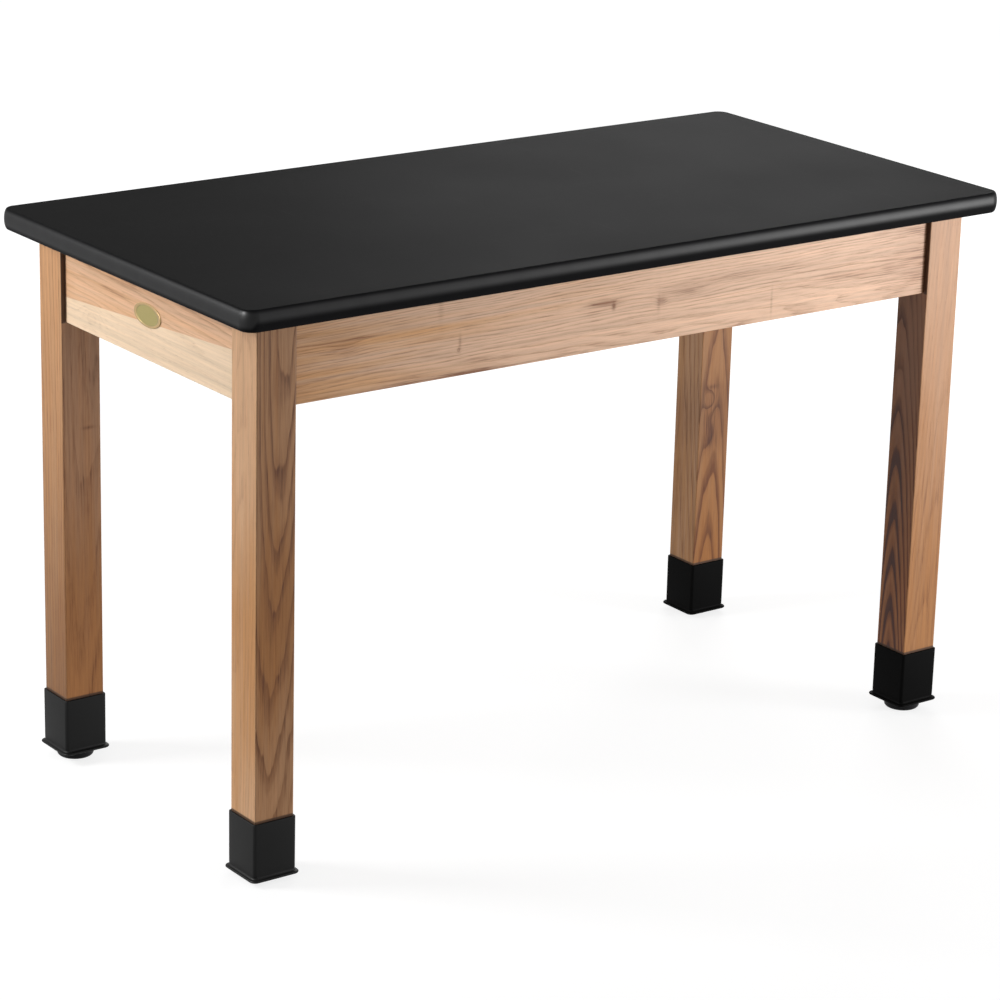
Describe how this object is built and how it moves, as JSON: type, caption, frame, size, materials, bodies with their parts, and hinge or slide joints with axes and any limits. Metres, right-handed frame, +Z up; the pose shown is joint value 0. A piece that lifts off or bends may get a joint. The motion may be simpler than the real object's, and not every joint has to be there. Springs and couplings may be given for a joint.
{
  "type": "science lab table",
  "caption": "Rectangular lab table: matte black laminate top with a domed black edge on an ash frame with square legs, black leg boots and screw-in levelling glides.",
  "frame": {"origin": "on the floor under the middle of the worktop", "axes": "+X along the long side, to the right as seen from the front; +Y to the back; +Z up"},
  "size_m": [1.2192, 0.6096, 0.762],
  "materials": {
    "black_laminate": "fine matte high-pressure laminate",
    "black_edging": "satin extruded T-moulding",
    "particleboard": "raw pressed board",
    "ash": "clear satin lacquer",
    "zinc_steel": "bright zinc plate",
    "boot_black": "satin moulded vinyl rubber",
    "glide_black": "moulded nylon",
    "plate_brass": "brushed, clear coated"
  },
  "bodies": {
    "table": {"apron_front": "ash", "apron_left": "ash", "apron_rear": "ash", "apron_right": "ash", "boot_front_left": "boot_black", "boot_front_right": "boot_black", "boot_rear_left": "boot_black", "boot_rear_right": "boot_black", "bracket_front_left": "zinc_steel", "bracket_front_right": "zinc_steel", "bracket_rear_left": "zinc_steel", "bracket_rear_right": "zinc_steel", "clip_front_1": "zinc_steel", "clip_front_2": "zinc_steel", "clip_left_1": "zinc_steel", "clip_rear_1": "zinc_steel", "clip_rear_2": "zinc_steel", "clip_right_1": "zinc_steel", "hanger_bolt_front_left": "zinc_steel", "hanger_bolt_front_right": "zinc_steel", "hanger_bolt_rear_left": "zinc_steel", "hanger_bolt_rear_right": "zinc_steel", "insert_front_left": "zinc_steel", "insert_front_right": "zinc_steel", "insert_rear_left": "zinc_steel", "insert_rear_right": "zinc_steel", "leg_front_left": "ash", "leg_front_right": "ash", "leg_rear_left": "ash", "leg_rear_right": "ash", "nut_front_left": "zinc_steel", "nut_front_right": "zinc_steel", "nut_rear_left": "zinc_steel", "nut_rear_right": "zinc_steel", "oval_plate": "plate_brass", "screw_front_1": "zinc_steel", "screw_front_2": "zinc_steel", "screw_left_1": "zinc_steel", "screw_rear_1": "zinc_steel", "screw_rear_2": "zinc_steel", "screw_right_1": "zinc_steel", "washer_front_left": "zinc_steel", "washer_front_right": "zinc_steel", "washer_rear_left": "zinc_steel", "washer_rear_right": "zinc_steel", "worktop_backer": "black_laminate", "worktop_core": "particleboard", "worktop_edging": "black_edging", "worktop_laminate": "black_laminate"},
    "pad_front_left": {"glide_pad_front_left": "glide_black"},
    "stem_front_left": {"glide_stem_front_left": "zinc_steel"},
    "pad_front_right": {"glide_pad_front_right": "glide_black"},
    "stem_front_right": {"glide_stem_front_right": "zinc_steel"},
    "pad_rear_right": {"glide_pad_rear_right": "glide_black"},
    "stem_rear_right": {"glide_stem_rear_right": "zinc_steel"},
    "pad_rear_left": {"glide_pad_rear_left": "glide_black"},
    "stem_rear_left": {"glide_stem_rear_left": "zinc_steel"}
  },
  "joints": [
    {"name": "glide_travel_front_left", "type": "slide", "parent": "table", "child": "pad_front_left", "axis": [0, 0, -1], "range_m": [-0.0025, 0.018]},
    {"name": "glide_turn_front_left", "type": "hinge", "parent": "pad_front_left", "child": "stem_front_left", "pos_m": [-0.54292, -0.23813, 0], "axis": [0, 0, -1], "range_deg": [-567, 4082]},
    {"name": "glide_travel_front_right", "type": "slide", "parent": "table", "child": "pad_front_right", "axis": [0, 0, -1], "range_m": [-0.008, 0.018]},
    {"name": "glide_turn_front_right", "type": "hinge", "parent": "pad_front_right", "child": "stem_front_right", "pos_m": [0.54292, -0.23813, 0], "axis": [0, 0, -1], "range_deg": [-1815, 4082]},
    {"name": "glide_travel_rear_right", "type": "slide", "parent": "table", "child": "pad_rear_right", "axis": [0, 0, -1], "range_m": [-0.0025, 0.018]},
    {"name": "glide_turn_rear_right", "type": "hinge", "parent": "pad_rear_right", "child": "stem_rear_right", "pos_m": [0.54292, 0.23813, 0], "axis": [0, 0, -1], "range_deg": [-567, 4082]},
    {"name": "glide_travel_rear_left", "type": "slide", "parent": "table", "child": "pad_rear_left", "axis": [0, 0, -1], "range_m": [-0.008, 0.018]},
    {"name": "glide_turn_rear_left", "type": "hinge", "parent": "pad_rear_left", "child": "stem_rear_left", "pos_m": [-0.54292, 0.23813, 0], "axis": [0, 0, -1], "range_deg": [-1815, 4082]}
  ],
  "couplings": [
    {"joint": "glide_turn_front_left", "follows": "glide_travel_front_left", "rad_per_m": 3957.9},
    {"joint": "glide_turn_front_right", "follows": "glide_travel_front_right", "rad_per_m": 3957.9},
    {"joint": "glide_turn_rear_right", "follows": "glide_travel_rear_right", "rad_per_m": 3957.9},
    {"joint": "glide_turn_rear_left", "follows": "glide_travel_rear_left", "rad_per_m": 3957.9}
  ]
}
